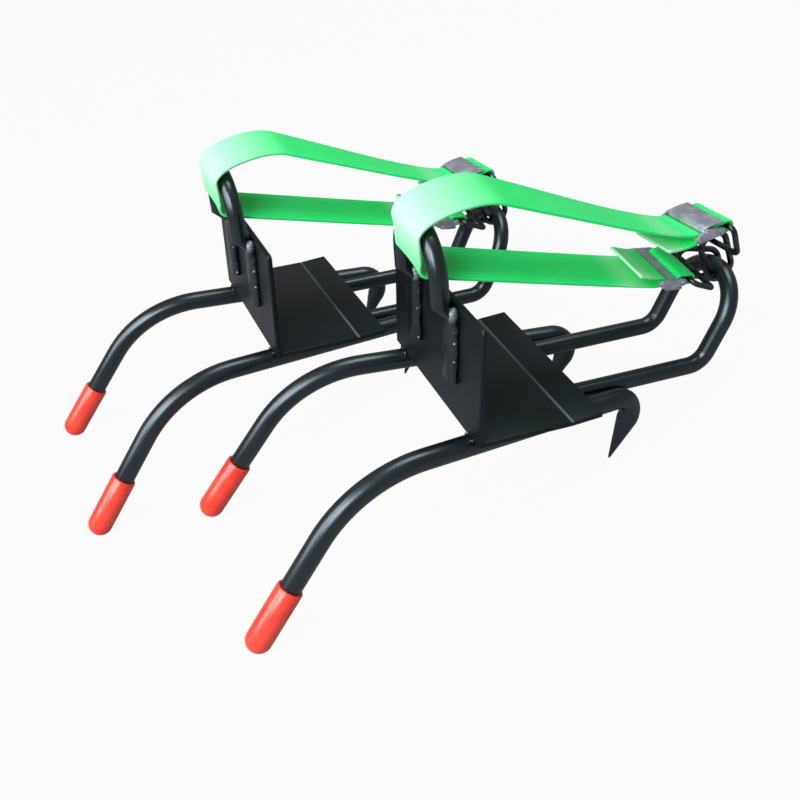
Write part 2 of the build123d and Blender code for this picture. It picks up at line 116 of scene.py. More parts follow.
# %% A socket that understands arithmetic
class Wire:
    """One output socket of a material, on which arithmetic adds Math nodes."""

    def __init__(self, tree, socket=None):
        self.tree = tree
        self.socket = socket

    def node(self, kind, sockets=None, out=0, **settings):
        """Adds a node: its settings first, then the values or links of its sockets."""
        made = self.tree.nodes.new(kind)
        for name, value in settings.items():
            setattr(made, name, value)
        for key, value in (sockets or {}).items():
            if isinstance(value, Wire):
                self.tree.links.new(value.socket, made.inputs[key])
            else:
                made.inputs[key].default_value = value
        return Wire(self.tree, made.outputs[out])

    def maths(self, operation, *values):
        return self.node("ShaderNodeMath", dict(enumerate(values)), operation=operation)

    def __add__(self, other):
        return self.maths("ADD", self, other)

    def __sub__(self, other):
        return self.maths("SUBTRACT", self, other)

    def __rsub__(self, other):
        return self.maths("SUBTRACT", other, self)

    def __mul__(self, other):
        return self.maths("MULTIPLY", self, other)

    __radd__ = __add__
    __rmul__ = __mul__

    def wave(self, pitch):
        """A smooth wave from 0 to 1 that repeats at a pitch in metres."""
        return self.maths("SINE", self * (2 * pi / pitch)) * 0.5 + 0.5

    def span(self, low, high):
        """0 below low, 1 above high, smooth between."""
        sockets = {"Value": self, "From Min": low, "From Max": high}
        return self.node("ShaderNodeMapRange", sockets, interpolation_type="SMOOTHSTEP")

    def tint(self, first, second):
        """A colour that goes from first to second with this value."""
        # The Mix node repeats its socket names for each kind of data, so its colours are found by number.
        return self.node("ShaderNodeMix", {0: self, 6: first, 7: second}, out=2, data_type="RGBA")

    def grain(self, scale, detail, roughness=0.5):
        """Noise at a scale, on this wire's coordinates."""
        sockets = {"Vector": self, "Scale": scale, "Detail": detail, "Roughness": roughness}
        return self.node("ShaderNodeTexNoise", sockets)

    def bump(self, distance, strength):
        """A surface normal raised by this height, in metres at full height."""
        return self.node("ShaderNodeBump", {"Height": self, "Distance": distance, "Strength": strength})


# %% [markdown]
# Every finish is one Principled shader. What is the same all over is set on the shader's own sockets, and
# only what varies is fed by wires. Colours are written as they look on screen, which is easier to judge
# than the linear light that a shader works in.


# %% Helpers for finishes
def new_finish(name, **values):
    """A material with one Principled shader, and a wire on its Object coordinates for patterns."""
    material = bpy.data.materials.new(name)
    material.use_nodes = True
    tree = material.node_tree
    shader = tree.nodes["Principled BSDF"]
    for socket, value in values.items():
        shader.inputs[socket.replace("_", " ")].default_value = value
    place = Wire(tree).node("ShaderNodeTexCoord", out="Object")
    return material, shader, place


def feed(shader, **wires):
    """Links wires to the shader's sockets."""
    for socket, wire in wires.items():
        wire.tree.links.new(wire.socket, shader.inputs[socket.replace("_", " ")])


def on_screen(red, green, blue):
    """A colour as seen on screen, 0 to 255, as the linear colour that a shader takes."""
    def linear(value):
        value /= 255
        return value / 12.92 if value <= 0.04045 else ((value + 0.055) / 1.055) ** 2.4
    return (linear(red), linear(green), linear(blue), 1.0)


print("middle grey on screen is", on_screen(128, 128, 128), "in a shader")

# %% [markdown]
# ## Black paint
# The frame is sprayed with one coat of blue-black enamel. It is a little wavy like orange peel and uneven in
# tone. Along the foot plate's crease and on the shoulders of the welds it is painted pale grey: a painted
# highlight where these catch the light. An attribute on the mesh marks those places. How the paint shines
# depends on the steel below: rolled plate is dull, drawn bar is smooth, and the molten beads are glassy.
# Writing out three materials would say the same thing three times, so one function mixes the paint at a
# given gloss.

# %% Blue-black enamel
PAINT_DEEP = on_screen(5, 9, 13)
PAINT_CLOUDED = on_screen(10, 16, 21)
# Pale grey painted over the crease and the weld shoulders: a painted highlight.
PAINT_HIGHLIGHT = on_screen(132, 142, 150)
COOL_SHINE = (0.74, 0.90, 1.0, 1.0)


def enamel(name, shine, rough):
    """The frame's paint, with how strongly it mirrors and how much it blurs what it mirrors."""
    finish, shader, place = new_finish(name, Specular_IOR_Level=shine, Specular_Tint=COOL_SHINE)
    peel = place.grain(scale=220.0, detail=1.0)
    cloud = place.grain(scale=38.0, detail=3.0).span(0.3, 0.7)
    # This attribute says where the painted highlight goes; there the paint is also a little rougher.
    paint_highlight = place.node("ShaderNodeAttribute", out="Fac", attribute_name="paint_highlight")
    tone = cloud.tint(PAINT_DEEP, PAINT_CLOUDED)
    feed(
        shader,
        Base_Color=paint_highlight.tint(tone, PAINT_HIGHLIGHT),
        Roughness=cloud * 0.06 + rough + paint_highlight * 0.05,
        Normal=peel.bump(distance=0.03 * MM, strength=0.2),
    )
    print("made", name)
    return finish


bar_paint = enamel("bar_enamel", shine=0.95, rough=0.27)
plate_paint = enamel("plate_enamel", shine=0.38, rough=0.42)
weld_paint = enamel("weld_enamel", shine=0.9, rough=0.2)

# %% [markdown]
# ## Red dipped caps
# The caps are soft red vinyl under a thin gloss, with a faint scuffed bloom where they touch the ground.
# The scuffs could be painted on by hand. Noise that fades with the height above the ground puts them on all
# four caps at once.

# %% Red vinyl
RED_DEEP = on_screen(244, 52, 34)
RED_FLUSHED = on_screen(252, 74, 54)
RED_SCUFFED = on_screen(214, 104, 90)
SCUFFED_BELOW = 3.0
CLEAN_ABOVE = 20.0
red_vinyl, shader, place = new_finish("red_vinyl", Coat_Roughness=0.12, Specular_IOR_Level=0.5)
height = place.node("ShaderNodeSeparateXYZ", {"Vector": place}, out="Z")
near_ground = 1 - height.span(SCUFFED_BELOW * MM, CLEAN_ABOVE * MM)
scuff = place.grain(scale=420.0, detail=4.0, roughness=0.65).span(0.52, 0.75) * near_ground
flush = place.grain(scale=60.0, detail=2.0).span(0.3, 0.7)
skin = flush.tint(RED_DEEP, RED_FLUSHED)
feed(
    shader,
    Base_Color=(scuff * 0.5).tint(skin, RED_SCUFFED),
    Roughness=scuff * 0.3 + 0.3,
    Coat_Weight=0.4 - scuff * 0.3,
    Normal=place.grain(scale=300.0, detail=1.0).bump(distance=0.05 * MM, strength=0.3),
)
print("made", red_vinyl.name)

# %% [markdown]
# ## Green webbing
# The strap is flat woven webbing in a bright green, so fine that it shines like ribbon. Faint lengthwise
# cords show where it lies flat. Over the front of its fold and at its cut ends it is painted mint white: a
# painted highlight. The weave has to follow the strap round its bends, so it reads the strap's own UV map,
# laid out in metres: U along the strap, V across it. A point attribute marks that painted highlight on the
# fold and the ends.

# %% Woven green webbing
CORD_PITCH = 2.5
THREAD_PITCH = 0.9
THREAD_DIP = 0.4
GREEN_DEEP = on_screen(24, 238, 112)
GREEN_RAISED = on_screen(36, 246, 124)
GREEN_BRUSHED = on_screen(66, 252, 148)
# Mint white for the painted highlight on the fold and the cut ends.
MINT_HIGHLIGHT = on_screen(222, 254, 240)
webbing, shader, place = new_finish(
    "green_webbing", Specular_IOR_Level=0.25, Sheen_Weight=0.06, Sheen_Roughness=0.35,
    Subsurface_Weight=0.25, Subsurface_Radius=(0.2, 1.0, 0.4), Subsurface_Scale=3 * MM,
)
cloth = place.node("ShaderNodeTexCoord", out="UV")
along = place.node("ShaderNodeSeparateXYZ", {"Vector": cloth}, out="X")
across = place.node("ShaderNodeSeparateXYZ", {"Vector": cloth}, out="Y")
# This attribute carries the strength of the painted highlight.
webbing_highlight = place.node("ShaderNodeAttribute", out="Fac", attribute_name="webbing_highlight")
cords = across.wave(CORD_PITCH * MM)
threads = (along + cords * (THREAD_DIP * MM)).wave(THREAD_PITCH * MM)
weave = cords * 0.7 + threads * 0.3
patch = place.grain(scale=45.0, detail=3.0).span(0.3, 0.7)
green = weave.tint(GREEN_DEEP, GREEN_RAISED)
brushed = (patch * 0.3).tint(green, GREEN_BRUSHED)
feed(
    shader,
    Base_Color=webbing_highlight.tint(brushed, MINT_HIGHLIGHT),
    Roughness=0.46 - weave * 0.1,
    Normal=weave.bump(distance=0.1 * MM, strength=0.25),
)
print("made", webbing.name)

# %% [markdown]
# ## Plated sheet and dark wire
# The buckles are stamped from zinc-plated sheet: silver-grey, with brush lines and a dull bloom. Noise that
# a Mapping node squeezes far more in two directions than in the third turns into such lines.

# %% Plated sheet steel
BRUSHING = (60.0, 900.0, 900.0)
ZINC_DULL = on_screen(168, 174, 188)
ZINC_BRIGHT = on_screen(206, 210, 220)
plated, shader, place = new_finish("plated_sheet", Metallic=0.72)
squeezed = place.node("ShaderNodeMapping", {"Vector": place, "Scale": BRUSHING})
lines = squeezed.grain(scale=1.0, detail=3.0)
bloom = place.grain(scale=130.0, detail=4.0).span(0.35, 0.7)
feed(
    shader,
    Base_Color=bloom.tint(ZINC_DULL, ZINC_BRIGHT),
    Roughness=bloom * 0.1 + lines * 0.14 + 0.2,
    Normal=lines.bump(distance=0.06 * MM, strength=0.4),
)
print("made", plated.name)

# %% [markdown]
# The rings and links are bent from darker wire. It is all metal, so its colour tints the reflection. Fine
# spots that are lighter and rougher keep it from looking like chrome.

# %% Dark wire steel
WIRE_DARK = on_screen(60, 64, 68)
WIRE_SPOTTED = on_screen(104, 108, 112)
wire_steel, shader, place = new_finish("dark_wire", Metallic=1.0)
spots = place.grain(scale=300.0, detail=4.0, roughness=0.6).span(0.35, 0.75)
feed(
    shader,
    Base_Color=spots.tint(WIRE_DARK, WIRE_SPOTTED),
    Roughness=spots * 0.18 + 0.24,
    Normal=place.grain(scale=1200.0, detail=2.0).bump(distance=0.05 * MM, strength=0.4),
)
print("made", wire_steel.name)

# %% [markdown]
# ## A finish for every node
# The end of a node's name says what it is, so one table gives each kind its finish and its slot. The longest
# ending wins, because an anchor loop is webbing while the other loops are bar. Most nodes are replaced
# further down by finer pieces, which take their finish from the same table. The buckles' pins, which hardly
# show, stay as the frame made them.

# %% Give every CAD node its finish
FINISHES = {
    "plate": (plate_paint, "frame_paint"),
    "bar": (bar_paint, "frame_paint"),
    "loop": (bar_paint, "frame_paint"),
    "welds": (weld_paint, "frame_paint"),
    "cap": (red_vinyl, "cap_red"),
    "strap": (webbing, "webbing"),
    "anchor_loop": (webbing, "webbing"),
    "body": (plated, "buckle_steel"),
    "pins": (plated, "buckle_steel"),
    "lever": (plated, "buckle_steel"),
    "ring": (wire_steel, "ring_steel"),
    "link": (wire_steel, "ring_steel"),
}


def finish_of(node):
    """The finish of a node and its slot in the record."""
    ending = max((end for end in FINISHES if node.endswith(end)), key=len)
    return FINISHES[ending]


def coat(piece, finish):
    """Gives a piece one finish in place of any that it has."""
    piece.data.materials.clear()
    piece.data.materials.append(finish)


for name, node in nodes.items():
    finish, slot = finish_of(name)
    coat(node, finish)
print("finished", len(nodes), "nodes")

# %% [markdown]
# ## Helpers for new pieces
# A new piece stands in for a CAD node: it takes the node's finish, rides on the same moving body and hides
# the node it replaces. What is built in the claw's frame is copied to both claws, each copy with its own
# mesh and with its place in that mesh, so that the object itself stays at the origin.


# %% Stand in for a node
def stand_in(piece, node):
    """A piece takes the place of a CAD node."""
    finish, slot = finish_of(node)
    coat(piece, finish)
    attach(piece, nodes[node]["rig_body"])
    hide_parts(node)
    print(piece.name, "stands in for", node, "with", len(piece.data.polygons), "faces")


def stand_on_claws(piece, node):
    """Each claw gets its own copy of a piece that stands for one of its nodes."""
    for claw, placement in CLAWS.items():
        copy = bpy.data.objects.new(f"{claw}_{piece.name}", piece.data.copy())
        copy.data.transform(placement)
        bpy.context.scene.collection.objects.link(copy)
        stand_in(copy, f"{claw}_{node}")
    bpy.data.objects.remove(piece)


def select_only(piece):
    """Selects one piece and nothing else, so that an operator acts on it alone."""
    bpy.ops.object.select_all(action="DESELECT")
    bpy.context.view_layer.objects.active = piece
    piece.select_set(True)


def apply_modifier(piece, kind, **settings):
    """Adds a modifier with its settings and applies it."""
    select_only(piece)
    modifier = piece.modifiers.new(kind.lower(), kind)
    for name, value in settings.items():
        setattr(modifier, name, value)
    bpy.ops.object.modifier_apply(modifier=modifier.name)


# %% [markdown]
# ## Where the buckles are
# The strap and its loops are drawn from the two buckles, and a buckle is found from its joints in the frame:
# the lever's pin gives the direction across the strap, and the wire ring's bar lies a known way behind it.

# %% Buckle frames from the joints
LEVER_PIN_BACK = 5.0
LEVER_PIN_UP = 2.6
ANCHOR_BACK = 14.5
RING_BACK = 21.0
JOINTS = {joint["name"]: joint for joint in frame["joints"]}
HOME = CLAWS["first"].inverted()


def buckle_frame(level):
    """Middle of the strap's bar, then the directions rearward and across, in the claw's frame."""
    lever = JOINTS[f"first_{level}_lever_lift"]
    pin = HOME @ Vector(lever["pos_m"]) / MM
    ring = HOME @ Vector(JOINTS[f"first_{level}_ring_swing"]["pos_m"]) / MM
    side = -(HOME.to_3x3() @ Vector(lever["axis"])).normalized()
    reach = ring - pin
    rear = (reach * (RING_BACK - LEVER_PIN_BACK) + reach.cross(side) * LEVER_PIN_UP).normalized()
    return ring - rear * RING_BACK, rear, side


BUCKLES = {level: buckle_frame(level) for level in ("upper", "lower")}
print("buckles:", BUCKLES)

# %% [markdown]
# ## The strap
# One length of webbing starts in a short tail under the upper buckle, turns round that buckle's bar, runs
# forward, folds over the arched bar, runs back to the lower buckle and ends in a second tail.
# A curve modifier could bend a flat strip along a path, but it twists freely. Here two smooth splines are
# drawn, one for the middle of the strap and one beside it, so the twist is as chosen at every point.

# %% The strap's points in the claw's frame
YAW = radians(4.0)
TURN = 2.4
UPPER_ROLL = -1
UPPER_END = ((-18.5, -1.0), (-12.0, -2.4), (-4.5, -3.2), (TURN, -TURN), (TURN, TURN), (-4.0, TURN))
LOWER_ROLL = 10
LOWER_END = ((-8.0, TURN), (TURN, TURN), (TURN, -TURN), (-5.0, -TURN), (-16.5, -5.0))
FOLD = (
    ((107.5, -7.0, 82.9), 2),
    ((75.0, -5.9, 94.9), 5),
    ((40.0, -4.7, 107.8), 9),
    ((18.0, -4.0, 115.9), 10.5),
    ((-18.0, -4.0, 107.4), 10.5),
    ((-16.3, -4.0, 89.6), 10.5),
    ((-15.5, -4.0, 80.9), 10.5),
    ((-7.0, -4.4, 79.0), 10.5),
)


def across_strap(roll):
    """Direction across the strap, tipped up by a roll in degrees."""
    flat = Vector((-sin(YAW), cos(YAW), 0))
    return flat * cos(radians(roll)) + Vector((0, 0, sin(radians(roll))))


def beside_buckle(level, roll, places):
    """Control points given along the strap and towards the lever, with a roll."""
    origin, rear, side = BUCKLES[level]
    return [(origin + rear * back + rear.cross(side) * out, roll) for back, out in places]


STRAP_LINE = beside_buckle("upper", UPPER_ROLL, UPPER_END)
STRAP_LINE += [(Vector(point), roll) for point, roll in FOLD]
STRAP_LINE += beside_buckle("lower", LOWER_ROLL, LOWER_END)
print("strap is steered by", len(STRAP_LINE), "points")

# %% [markdown]
# A NURBS spline of order three keeps close to its points and rounds every corner, as webbing does. It is
# drawn as a curve object, and the vertices of its mesh are the stations along the strap.

# %% The strap's stations
STATIONS_PER_POINT = 14
SPLINE_ORDER = 3


def smooth_line(points):
    """Points along a NURBS spline that the given points steer."""
    curve = bpy.data.curves.new("line", "CURVE")
    curve.dimensions = "3D"
    curve.resolution_u = STATIONS_PER_POINT
    spline = curve.splines.new("NURBS")
    spline.points.add(len(points) - 1)
    for control, point in zip(spline.points, points):
        control.co = (*point, 1)
    spline.order_u = SPLINE_ORDER
    spline.use_endpoint_u = True
    drawn = bpy.data.objects.new("line", curve)
    places = [vertex.co.copy() for vertex in bpy.data.meshes.new_from_object(drawn).vertices]
    bpy.data.objects.remove(drawn)
    return places


middle = smooth_line([point for point, roll in STRAP_LINE])
beside_middle = smooth_line([point + across_strap(roll) for point, roll in STRAP_LINE])
sideways = [edge - centre for edge, centre in zip(beside_middle, middle)]
strap_length = sum((b - a).length for a, b in zip(middle, middle[1:]))
print("strap line:", len(middle), "points,", round(strap_length), "mm long")

# %% [markdown]
# A flat grid is the start of any piece of webbing. Its columns are moved onto the stations of the line, its
# rows are spread across the width with a small ripple for the woven cords, and a Solidify and a Bevel
# modifier give it thickness and soft edges. Its UV map is set to real metres at the same time.

# %% Weave a strip along a line
WEBBING_THICK = 1.6
WEBBING_EDGE = 0.35
CORD_HEIGHT = 0.02
ROWS = 48
CORNER_OVER = radians(60)
WEBBING_SMOOTH = radians(50)


def weave_strip(name, stations, sides, width, highlight_amounts):
    """A strip of webbing along stations, with the direction across it and the strength of its painted
    highlight at each.
    """
    steps = len(stations) - 1
    bpy.ops.object.select_all(action="DESELECT")
    bpy.ops.mesh.primitive_grid_add(x_subdivisions=steps, y_subdivisions=ROWS, size=2.0, calc_uvs=True)
    strip = bpy.context.object
    strip.name = name
    distance = [0.0]
    for a, b in zip(stations, stations[1:]):
        distance.append(distance[-1] + (b - a).length)
    highlight_points = strip.data.attributes.new("webbing_highlight", "FLOAT", "POINT").data
    columns = {}
    # The grid reaches from -1 to 1 both ways, which gives a vertex its column and its share of the width.
    for vertex in strip.data.vertices:
        column = round((vertex.co.x + 1) / 2 * steps)
        share = vertex.co.y / 2
        columns[vertex.index] = (column, share)
        highlight_points[vertex.index].value = highlight_amounts[column]
        heading = (stations[min(column + 1, steps)] - stations[max(column - 1, 0)]).normalized()
        side = (sides[column] - heading * sides[column].dot(heading)).normalized()
        ripple = CORD_HEIGHT * cos(2 * pi * share * width / CORD_PITCH)
        vertex.co = (stations[column] + side * (share * width) + heading.cross(side) * ripple) * MM
    for loop, uv in zip(strip.data.loops, strip.data.uv_layers[0].data):
        column, share = columns[loop.vertex_index]
        uv.uv = (distance[column] * MM, (share + 0.5) * width * MM)
    apply_modifier(strip, "SOLIDIFY", thickness=WEBBING_THICK * MM, offset=0.0)
    apply_modifier(
        strip, "BEVEL", width=WEBBING_EDGE * MM, segments=2, limit_method="ANGLE", angle_limit=CORNER_OVER,
    )
    bpy.ops.object.shade_smooth_by_angle(angle=WEBBING_SMOOTH)
    return strip


# %% [markdown]
# The strap's painted highlight is strongest at the front of its fold, and the green comes back sooner on the
# side that returns to the lower buckle. Its two cut ends get a painted highlight too. A texture could hold
# this, but a number at each station is enough.

# %% The green strap
STRAP_WIDTH = 30.0
FOLD_REACH = 52.0
RETURN_REACH = 24.0
# Strengths of the painted highlight at the fold's front and at the cut ends.
FOLD_HIGHLIGHT = 0.66
END_REACH = 14.0
END_HIGHLIGHT = 0.6
front = min(range(len(middle)), key=lambda place: middle[place].x)


def highlight_at(place):
    """How strong the painted highlight is at a station, from its way to the fold's front and to the cut
    ends.
    """
    reach = FOLD_REACH if place <= front else RETURN_REACH
    from_fold = (middle[place] - middle[front]).length / reach
    from_end = min((middle[place] - middle[0]).length, (middle[place] - middle[-1]).length) / END_REACH
    return max(FOLD_HIGHLIGHT * max(0.0, 1 - from_fold), END_HIGHLIGHT * max(0.0, 1 - from_end))


highlight_amounts = [highlight_at(place) for place in range(len(middle))]
strap = weave_strip("green_strap", middle, sideways, STRAP_WIDTH, highlight_amounts)
stand_on_claws(strap, "strap")

# %% [markdown]
# ## Anchor loops
# Behind each buckle a short sewn loop of webbing joins the buckle's rear pin to a wire ring. Its line is two
# straight runs and two half turns, so its stations are worked out from the pin's and the ring's places.

# %% Loops behind the buckles
ANCHOR_WIDTH = 28.0
LOOP_TURN = 2.7
LOOP_STEPS = 12
for level, (origin, rear, side) in BUCKLES.items():
    out = rear.cross(side)
    loop_line = []
    for centre, start in ((RING_BACK, pi / 2), (ANCHOR_BACK, -pi / 2)):
        for step in range(LOOP_STEPS + 1):
            angle = start - pi * step / LOOP_STEPS
            back = rear * (centre + LOOP_TURN * cos(angle))
            loop_line.append(origin + back + out * (LOOP_TURN * sin(angle)))
    loop_line.append(loop_line[0])
    stations = len(loop_line)
    # The anchor loops get no painted highlight.
    no_highlight = [0.0] * stations
    strip = weave_strip(f"{level}_anchor_webbing", loop_line, [side] * stations, ANCHOR_WIDTH, no_highlight)
    stand_on_claws(strip, f"{level}_anchor_loop")

# %% [markdown]
# ## Sheet metal with softened edges
# Sheared plate and stamped sheet never have knife edges: a small round catches the light along every edge.
# A copy of each CAD node is merged from loose triangles, its flat faces are joined, and a Bevel modifier
# rounds the sharp edges. That keeps the frame's exact size, which modelling the plates again by eye would
# not.

# %% Copies of nodes, and rounded edges
MERGE_WITHIN = 1e-6
FLAT_WITHIN = radians(0.5)
SHARP_OVER = radians(40)
STEEL_SMOOTH = radians(35)


def take_copy(node, ending):
    """A merged copy of a CAD node's mesh as a new object, selected and active."""
    piece = bpy.data.objects.new(f"{node}_{ending}", nodes[node].data.copy())
    bpy.context.scene.collection.objects.link(piece)
    select_only(piece)
    bpy.ops.object.mode_set(mode="EDIT")
    bpy.ops.mesh.select_all(action="SELECT")
    bpy.ops.mesh.customdata_custom_splitnormals_clear()
    bpy.ops.mesh.remove_doubles(threshold=MERGE_WITHIN)
    bpy.ops.mesh.dissolve_limited(angle_limit=FLAT_WITHIN)
    bpy.ops.object.mode_set(mode="OBJECT")
    return piece


def soften(piece, node, width):
    """Rounds the sharp edges of a node's copy by a width. The copy then stands for the node."""
    apply_modifier(
        piece, "BEVEL", width=width * MM, segments=3, limit_method="ANGLE", angle_limit=SHARP_OVER,
    )
    bpy.ops.object.shade_smooth_by_angle(angle=STEEL_SMOOTH)
    stand_in(piece, node)


# %% [markdown]
# The plates are thicker than the buckles' sheet, so their edges are rounder. The foot plates are left for a
# later cell, because they are cut before their edges are rounded.

# %% Front plates, buckle bodies and levers
PLATE_EDGE = 0.5
BUCKLE_EDGE = 0.25
for claw in CLAWS:
    front_plate = f"{claw}_front_plate"
    soften(take_copy(front_plate, "soft"), front_plate, PLATE_EDGE)
    for level in BUCKLES:
        for part in ("buckle_body", "buckle_lever"):
            node = f"{claw}_{level}_{part}"
            soften(take_copy(node, "soft"), node, BUCKLE_EDGE)

# %% [markdown]
# ## Round bars, caps and wires
# The frame's round pieces are made of triangles, and a glossy finish shows their slanting diagonals as a
# zigzag in the highlight. In a copy whose triangles are joined into quads the normals are even, so the shine
# runs smoothly along.

# %% Even out the round pieces
ROUND = ("_bar", "_heel_loop", "_strap_loop", "_cap", "_ring", "_link")
QUAD_BEND = radians(30)
QUAD_SKEW = radians(80)
for ending in ROUND:
    for node in [name for name in nodes if name.endswith(ending)]:
        piece = take_copy(node, "round")
        bpy.ops.object.mode_set(mode="EDIT")
        bpy.ops.mesh.select_all(action="SELECT")
        bpy.ops.mesh.tris_convert_to_quads(face_threshold=QUAD_BEND, shape_threshold=QUAD_SKEW)
        bpy.ops.object.mode_set(mode="OBJECT")
        bpy.ops.object.shade_smooth_by_angle(angle=STEEL_SMOOTH)
        stand_in(piece, node)

# %% [markdown]
# ## The creased foot plate
# The foot plate's rear strip is bent up a little. The press left a fine line along the bend, and the paint
# there is painted paler: a painted highlight along the crease. Two cuts beside the crease give the line its
# own faces, and the crease itself is sunk a little. A painted line alone would stay flat when the light
# comes from the side.

# %% Press the crease into the foot plates
CREASE = 54.0
CREASE_HALF = 0.8
CREASE_DEPTH = 0.25
CREASE_HIGHLIGHT = 0.4
ON_CREASE = 0.1
TOP_SKIN = -0.5
for claw, placement in CLAWS.items():
    node = f"{claw}_foot_plate"
    plate = take_copy(node, "soft")
    turn = placement.to_3x3()
    bpy.ops.object.mode_set(mode="EDIT")
    for place in (CREASE - CREASE_HALF, CREASE + CREASE_HALF):
        bpy.ops.mesh.select_all(action="SELECT")
        cut = placement @ Vector((place * MM, 0, 0))
        bpy.ops.mesh.bisect(plane_co=cut, plane_no=turn @ Vector((1, 0, 0)))
    bpy.ops.object.mode_set(mode="OBJECT")
    own = placement.inverted()
    for vertex in plate.data.vertices:
        spot = own @ vertex.co / MM
        if abs(spot.x - CREASE) < ON_CREASE and spot.z > TOP_SKIN:
            vertex.co -= turn @ Vector((0, 0, CREASE_DEPTH * MM))
    soften(plate, node, PLATE_EDGE)
    # The crease's faces get the painted highlight: pale grey paint along the bend.
    marks = plate.data.attributes.new("paint_highlight", "FLOAT", "FACE").data
    for face in plate.data.polygons:
        spot = own @ face.center / MM
        creased = abs(spot.x - CREASE) < CREASE_HALF and spot.z > TOP_SKIN
        marks[face.index].value = CREASE_HIGHLIGHT * creased

# %% [markdown]
# ## Weld beads
# Beads of filler join the bars to the plates. A hand weld is a row of overlapping lumps, so each bead is a
# row of balls of uneven size and place. The random draws are seeded, so the beads are the same in every run.

# %% One bead as a row of balls
JITTER = 0.45
SMALLEST = 0.75
LARGEST = 1.2
seeded = Random(7)


def lumps(start, along, length, size, step):
    """Places and sizes of the balls of one bead."""
    count = round(length / step)
    places = []
    for number in range(count + 1):
        jitter = Vector([seeded.uniform(-JITTER, JITTER) for axis in range(3)])
        lump = size * seeded.uniform(SMALLEST, LARGEST)
        places.append((start + along * (length * number / count) + jitter, lump))
    return places


# %% [markdown]
# The arched bar's flattened feet are welded to the front plate along both sides, with a heavier shoulder at
# the top. Under the foot plate there are beads along the heel loop's legs and along the bars, and a small
# one on each side where a bar leaves the front plate.

# %% Lay beads along the joints
LEG_OUT = 25.0
BAR_OUT = 47.5
BAR_TOE = radians(5.5)
BAR_BEADS_AT = (10.0, 37.0)
BAR_FLANK = 6.0
FOOT_FLANK = 6.2
FOOT_FACE = -1.2
FOOT_UP = 21.0
SHOULDER_FACE = -2.0
SHOULDER_UP = 56.0
SHOULDER_LEAN = 0.3
HEEL_BACK = 24.0
HEEL_FLANK = 5.0
TOE_FACE = -0.3
TOE_FLANK = 3.0
TOE_DOWN = -3.6
FOOT_BEAD = {"length": 37, "size": 2.1, "step": 2.1}
SHOULDER_BEAD = {"length": 6, "size": 2.6, "step": 1.5}
UNDER_BEAD = {"length": 14, "size": 1.9, "step": 2.3}
TOE_BEAD = {"length": 1.2, "size": 1.0, "step": 1.2}
PLATE_UNDER = -3.0
BELOW = PLATE_UNDER - UNDER_BEAD["size"] / 2
balls = []
for side in (-1, 1):
    bar_run = Vector((cos(BAR_TOE), -side * sin(BAR_TOE), 0))
    bar_side = Vector((sin(BAR_TOE), side * cos(BAR_TOE), 0))
    bar_top = Vector((0, side * BAR_OUT, BELOW))
    for face in (-1, 1):
        foot_side = side * LEG_OUT + face * FOOT_FLANK
        heel = Vector((HEEL_BACK, side * LEG_OUT + face * HEEL_FLANK, BELOW))
        toe = Vector((TOE_FACE, side * BAR_OUT + face * TOE_FLANK, TOE_DOWN))
        leaning = Vector((0, -face * SHOULDER_LEAN, 1))
        balls += lumps(Vector((FOOT_FACE, foot_side, FOOT_UP)), Vector((0, 0, 1)), **FOOT_BEAD)
        balls += lumps(Vector((SHOULDER_FACE, foot_side, SHOULDER_UP)), leaning, **SHOULDER_BEAD)
        balls += lumps(heel, Vector((1, 0, 0)), **UNDER_BEAD)
        for place in BAR_BEADS_AT:
            start = bar_top + bar_run * place + bar_side * (face * BAR_FLANK)
            balls += lumps(start, bar_run, **UNDER_BEAD)
        balls += lumps(toe, Vector((0, face, 0)), **TOE_BEAD)
print("weld balls:", len(balls))

# %% [markdown]
# All balls are added to one mesh, and a voxel Remesh modifier melts them into one skin. Joining them with
# Boolean modifiers would keep the sharp seams between them. Then the skin is smoothed a little.

# %% Melt the balls into one skin
BALL_DETAIL = 2
SKIN_GRAIN = 0.45
SKIN_SMOOTH = 0.5
SKIN_ROUNDS = 5
first_place, first_size = balls[0]
bpy.ops.object.select_all(action="DESELECT")
bpy.ops.mesh.primitive_ico_sphere_add(subdivisions=BALL_DETAIL, radius=first_size * MM, location=(0, 0, 0))
beads = bpy.context.object
beads.name = "weld_beads"
beads.data.transform(Matrix.Translation(first_place * MM))
bpy.ops.object.mode_set(mode="EDIT")
for place, size in balls[1:]:
    bpy.ops.mesh.primitive_ico_sphere_add(subdivisions=BALL_DETAIL, radius=size * MM, location=place * MM)
bpy.ops.object.mode_set(mode="OBJECT")
apply_modifier(beads, "REMESH", mode="VOXEL", voxel_size=SKIN_GRAIN * MM)
apply_modifier(beads, "SMOOTH", factor=SKIN_SMOOTH, iterations=SKIN_ROUNDS)
bpy.ops.object.shade_smooth()
print("weld skin:", len(beads.data.vertices), "vertices")

# %% [markdown]
# On the shoulders of the welds, at the top of the arched bar's feet, the paint is painted pale: a painted
# highlight. The same attribute as on the crease marks these spots, here at each point of the skin, so that
# they fade out.

# %% Painted highlight on the shoulders of the welds
HIGHLIGHT_REACH = 5.0
HIGHLIGHT_SPOT = Vector((-4.6, -5.5, 61.5))
highlight_spots = [HIGHLIGHT_SPOT + Vector((0, side * LEG_OUT, 0)) for side in (-1, 1)]
# Each point of the skin gets a painted highlight that fades with its way from the nearest shoulder.
shoulder_highlight = beads.data.attributes.new("paint_highlight", "FLOAT", "POINT").data
for vertex in beads.data.vertices:
    nearest = min((vertex.co / MM - spot).length for spot in highlight_spots)
    shoulder_highlight[vertex.index].value = max(0.0, 1 - nearest / HIGHLIGHT_REACH)
stand_on_claws(beads, "welds")

# %% [markdown]
# ## Floor
# The floor is a wide matte sheet. The camera sees it mixed almost all the way to plain white, so that it
# reads as a white studio and still keeps a soft shadow. Reflections get a small share of the same white,
# because black paint in a fully white room would look grey.

